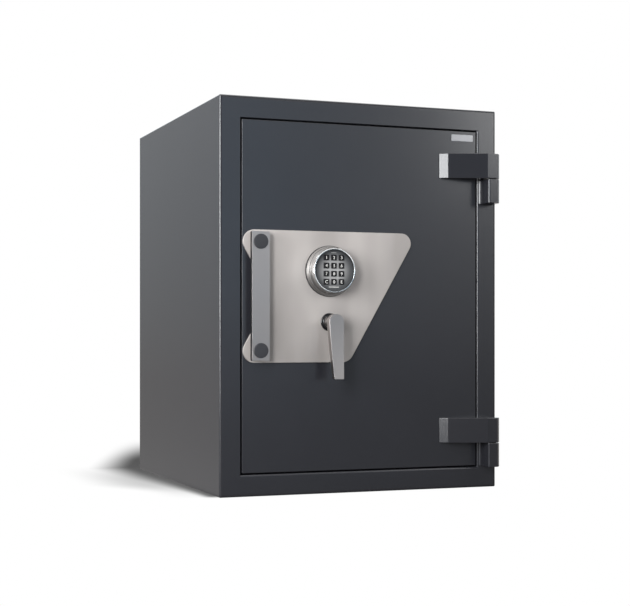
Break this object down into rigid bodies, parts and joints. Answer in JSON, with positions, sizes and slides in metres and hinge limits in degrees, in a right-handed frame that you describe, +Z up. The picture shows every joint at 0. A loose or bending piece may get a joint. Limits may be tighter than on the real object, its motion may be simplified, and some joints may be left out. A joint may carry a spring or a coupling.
{
  "type": "compact composite safe",
  "caption": "Compact free-standing composite safe with a flush hinged door, keypad lock, drop lever, pull bar, external hinges and a shelf inside.",
  "frame": {"origin": "on the floor at the centre of the body's footprint", "axes": "+Z up, -Y out of the front (door) face, +X towards the hinge side"},
  "size_m": [0.614, 0.7199, 0.8],
  "materials": {
    "body_paint": "satin charcoal enamel",
    "door_paint": "satin charcoal enamel",
    "barrier": "cast, rough",
    "liner_paint": "fine textured grey",
    "seal_rubber": "matte",
    "bare_steel": "machined",
    "plated_steel": "zinc plated",
    "hard_steel": "hardened, scaled",
    "stainless": "vertical brushed",
    "dark_caps": "satin dark grey",
    "black_plastic": "matte black",
    "chrome": "polished to satin",
    "keypad_plastic": "satin dark grey",
    "key_rubber": "satin black",
    "circuit_board": "solder mask",
    "cells": "printed sleeve",
    "cable": "matte",
    "lock_zinc": "die cast",
    "lock_brass": "turned",
    "lever_zinc": "satin nickel"
  },
  "bodies": {
    "body": {"frame_side_bars": "body_paint", "frame_cross_bars": "body_paint", "side_plates": "body_paint", "top_plate": "body_paint", "base_plate": "body_paint", "back_plate": "body_paint", "body_barrier": "barrier", "channel_plates": "liner_paint", "stop_plates": "liner_paint", "liner_panels": "liner_paint", "liner_floor": "liner_paint", "door_seal": "seal_rubber", "anchor_sleeve": "bare_steel", "hinge_blocks": "body_paint", "hinge_pins": "bare_steel", "hinge_bearings": "bare_steel", "shelf": "liner_paint", "shelf_rails": "plated_steel", "shelf_clips": "plated_steel"},
    "door": {"door_plate": "door_paint", "door_barrier": "barrier", "door_pan": "door_paint", "bolt_chassis": "plated_steel", "hard_plate": "hard_steel", "door_cover": "door_paint", "hinge_straps": "door_paint", "dead_bar": "bare_steel", "escutcheon_plate": "stainless", "pull_bar": "stainless", "bar_standoffs": "black_plastic", "bar_caps": "dark_caps", "keypad_gasket": "seal_rubber", "keypad_housing": "chrome", "keypad_face": "keypad_plastic", "keypad_board": "circuit_board", "battery_cells": "cells", "lock_cable": "cable", "lever_bush": "black_plastic", "bolt_guides": "plated_steel", "lock_case": "lock_zinc", "relocker_case": "lock_zinc"},
    "lever": {"lever_handle": "lever_zinc", "lever_spindle": "bare_steel", "drive_cam": "plated_steel"},
    "boltwork": {"bolt_bar": "plated_steel", "lock_bolts": "bare_steel"},
    "tongue": {"lock_tongue": "lock_brass"},
    "relocker": {"relocker_pin": "bare_steel"},
    "key_1": {"key_1": "key_rubber"},
    "key_2": {"key_2": "key_rubber"},
    "key_3": {"key_3": "key_rubber"},
    "key_4": {"key_4": "key_rubber"},
    "key_5": {"key_5": "key_rubber"},
    "key_6": {"key_6": "key_rubber"},
    "key_7": {"key_7": "key_rubber"},
    "key_8": {"key_8": "key_rubber"},
    "key_9": {"key_9": "key_rubber"},
    "key_clear": {"key_clear": "key_rubber"},
    "key_0": {"key_0": "key_rubber"},
    "key_enter": {"key_enter": "key_rubber"}
  },
  "joints": [
    {"name": "door_swing", "type": "hinge", "parent": "body", "child": "door", "pos_m": [0.281, -0.352, 0.4], "axis": [0, 0, 1], "range_deg": [0, 180]},
    {"name": "lever_turn", "type": "hinge", "parent": "door", "child": "lever", "pos_m": [-0.075, -0.33, 0.349], "axis": [0, -1, 0], "range_deg": [0, 90]},
    {"name": "bolt_throw", "type": "slide", "parent": "door", "child": "boltwork", "axis": [-1, 0, 0], "range_m": [0, 0.033]},
    {"name": "tongue_swing", "type": "hinge", "parent": "door", "child": "tongue", "pos_m": [-0.075, -0.256, 0.4325], "axis": [0, 1, 0], "range_deg": [0, 90]},
    {"name": "relocker_fire", "type": "slide", "parent": "door", "child": "relocker", "axis": [0, 0, 1], "range_m": [0, 0.01]},
    {"name": "key_1_press", "type": "slide", "parent": "door", "child": "key_1", "axis": [0, 1, 0], "range_m": [0, 0.0012], "stiffness_N_per_m": 250},
    {"name": "key_2_press", "type": "slide", "parent": "door", "child": "key_2", "axis": [0, 1, 0], "range_m": [0, 0.0012], "stiffness_N_per_m": 250},
    {"name": "key_3_press", "type": "slide", "parent": "door", "child": "key_3", "axis": [0, 1, 0], "range_m": [0, 0.0012], "stiffness_N_per_m": 250},
    {"name": "key_4_press", "type": "slide", "parent": "door", "child": "key_4", "axis": [0, 1, 0], "range_m": [0, 0.0012], "stiffness_N_per_m": 250},
    {"name": "key_5_press", "type": "slide", "parent": "door", "child": "key_5", "axis": [0, 1, 0], "range_m": [0, 0.0012], "stiffness_N_per_m": 250},
    {"name": "key_6_press", "type": "slide", "parent": "door", "child": "key_6", "axis": [0, 1, 0], "range_m": [0, 0.0012], "stiffness_N_per_m": 250},
    {"name": "key_7_press", "type": "slide", "parent": "door", "child": "key_7", "axis": [0, 1, 0], "range_m": [0, 0.0012], "stiffness_N_per_m": 250},
    {"name": "key_8_press", "type": "slide", "parent": "door", "child": "key_8", "axis": [0, 1, 0], "range_m": [0, 0.0012], "stiffness_N_per_m": 250},
    {"name": "key_9_press", "type": "slide", "parent": "door", "child": "key_9", "axis": [0, 1, 0], "range_m": [0, 0.0012], "stiffness_N_per_m": 250},
    {"name": "key_clear_press", "type": "slide", "parent": "door", "child": "key_clear", "axis": [0, 1, 0], "range_m": [0, 0.0012], "stiffness_N_per_m": 250},
    {"name": "key_0_press", "type": "slide", "parent": "door", "child": "key_0", "axis": [0, 1, 0], "range_m": [0, 0.0012], "stiffness_N_per_m": 250},
    {"name": "key_enter_press", "type": "slide", "parent": "door", "child": "key_enter", "axis": [0, 1, 0], "range_m": [0, 0.0012], "stiffness_N_per_m": 250}
  ],
  "couplings": [
    {"joint": "bolt_throw", "follows": "lever_turn", "m_per_rad": 0.021008},
    {"joint": "tongue_swing", "follows": "lever_turn", "ratio": 1}
  ]
}
